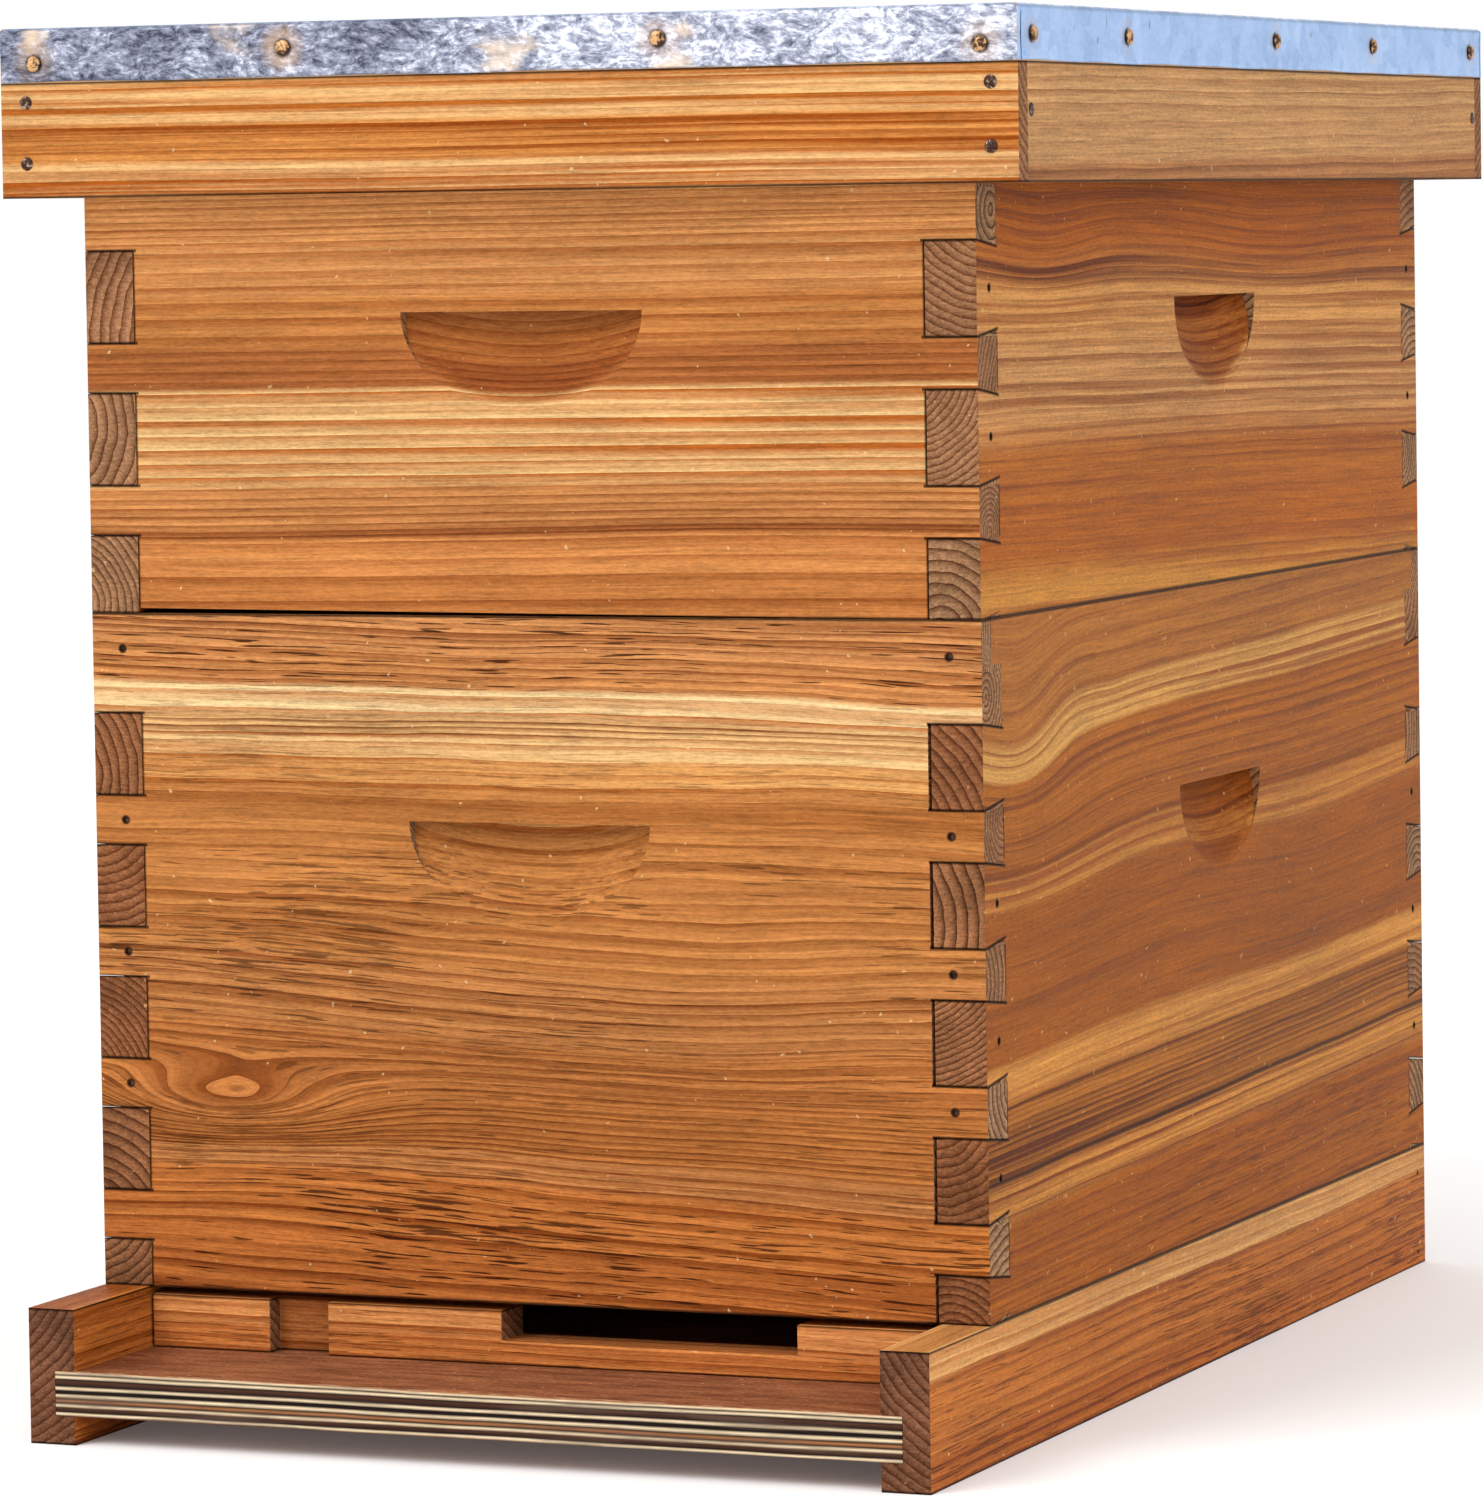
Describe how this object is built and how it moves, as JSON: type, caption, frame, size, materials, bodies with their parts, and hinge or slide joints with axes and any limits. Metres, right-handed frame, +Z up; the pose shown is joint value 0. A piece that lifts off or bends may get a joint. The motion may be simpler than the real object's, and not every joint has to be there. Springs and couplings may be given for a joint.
{
  "type": "beehive",
  "caption": "Wooden beehive of dovetailed boxes and movable frames on a grooved bottom board, with an entrance reducer, inner cover and telescoping metal-topped cover.",
  "frame": {"origin": "on the ground, under the middle of the overall plan (landing and cover included)", "axes": "+Z up, the entrance and landing face -Y, +X is to the right of someone who looks at the entrance"},
  "size_m": [0.3934, 0.5846, 0.5031],
  "materials": {
    "waxed_fir": "satin, wax-dipped",
    "film_faced_plywood": "satin film",
    "plain_plywood": "matte",
    "bare_pine": "matte",
    "wax_foundation": "matte",
    "galvanised_sheet": "spangled, weathered",
    "steel_nails": "dull"
  },
  "bodies": {
    "bottom_board": {"bottom_board_nails": "steel_nails", "floor_panel": "film_faced_plywood", "left_rail": "waxed_fir", "rear_rail": "waxed_fir", "right_rail": "waxed_fir"},
    "entrance_reducer": {"entrance_reducer": "waxed_fir"},
    "deep_box": {"deep_box_nails": "steel_nails", "deep_front_board": "waxed_fir", "deep_left_board": "waxed_fir", "deep_rear_board": "waxed_fir", "deep_right_board": "waxed_fir"},
    "deep_frames": {"deep_foundations": "wax_foundation", "deep_frame_1": "bare_pine", "deep_frame_2": "bare_pine", "deep_frame_3": "bare_pine", "deep_frame_4": "bare_pine", "deep_frame_5": "bare_pine", "deep_frame_6": "bare_pine", "deep_frame_7": "bare_pine"},
    "deep_inspection_frame": {"deep_inspection_bottom_bar": "bare_pine", "deep_inspection_end_bar_front": "bare_pine", "deep_inspection_end_bar_rear": "bare_pine", "deep_inspection_foundation": "wax_foundation", "deep_inspection_top_bar": "bare_pine"},
    "medium_box": {"medium_box_nails": "steel_nails", "medium_front_board": "waxed_fir", "medium_left_board": "waxed_fir", "medium_rear_board": "waxed_fir", "medium_right_board": "waxed_fir"},
    "medium_frames": {"medium_foundations": "wax_foundation", "medium_frame_1": "bare_pine", "medium_frame_2": "bare_pine", "medium_frame_3": "bare_pine", "medium_frame_4": "bare_pine", "medium_frame_5": "bare_pine", "medium_frame_6": "bare_pine", "medium_frame_7": "bare_pine"},
    "medium_inspection_frame": {"medium_inspection_bottom_bar": "bare_pine", "medium_inspection_end_bar_front": "bare_pine", "medium_inspection_end_bar_rear": "bare_pine", "medium_inspection_foundation": "wax_foundation", "medium_inspection_top_bar": "bare_pine"},
    "inner_cover": {"inner_cover_panel": "plain_plywood", "inner_cover_rim_front": "bare_pine", "inner_cover_rim_left": "bare_pine", "inner_cover_rim_rear": "bare_pine", "inner_cover_rim_right": "bare_pine"},
    "outer_cover": {"cover_metal_sheet": "galvanised_sheet", "cover_rim_front": "waxed_fir", "cover_rim_left": "waxed_fir", "cover_rim_nails": "steel_nails", "cover_rim_rear": "waxed_fir", "cover_rim_right": "waxed_fir", "cover_sheet_nails": "steel_nails", "cover_top_board": "plain_plywood"}
  },
  "joints": [
    {"name": "deep_box_lift", "type": "slide", "parent": "bottom_board", "child": "deep_box", "axis": [0, 0, 1], "range_m": [0, 0.15]},
    {"name": "deep_frames_lift", "type": "slide", "parent": "deep_box", "child": "deep_frames", "axis": [0, 0, 1], "range_m": [0, 0.26]},
    {"name": "deep_inspection_frame_lift", "type": "slide", "parent": "deep_frames", "child": "deep_inspection_frame", "axis": [0, 0, 1], "range_m": [0, 0.26]},
    {"name": "medium_box_lift", "type": "slide", "parent": "deep_inspection_frame", "child": "medium_box", "axis": [0, 0, 1], "range_m": [0, 0.15]},
    {"name": "medium_frames_lift", "type": "slide", "parent": "medium_box", "child": "medium_frames", "axis": [0, 0, 1], "range_m": [0, 0.18]},
    {"name": "medium_inspection_frame_lift", "type": "slide", "parent": "medium_frames", "child": "medium_inspection_frame", "axis": [0, 0, 1], "range_m": [0, 0.18]},
    {"name": "inner_cover_lift", "type": "slide", "parent": "medium_inspection_frame", "child": "inner_cover", "axis": [0, 0, 1], "range_m": [0, 0.12]},
    {"name": "outer_cover_lift", "type": "slide", "parent": "inner_cover", "child": "outer_cover", "axis": [0, 0, 1], "range_m": [0, 0.15]},
    {"name": "entrance_reducer_pull", "type": "slide", "parent": "bottom_board", "child": "entrance_reducer", "axis": [0, -1, 0], "range_m": [0, 0.06]}
  ]
}
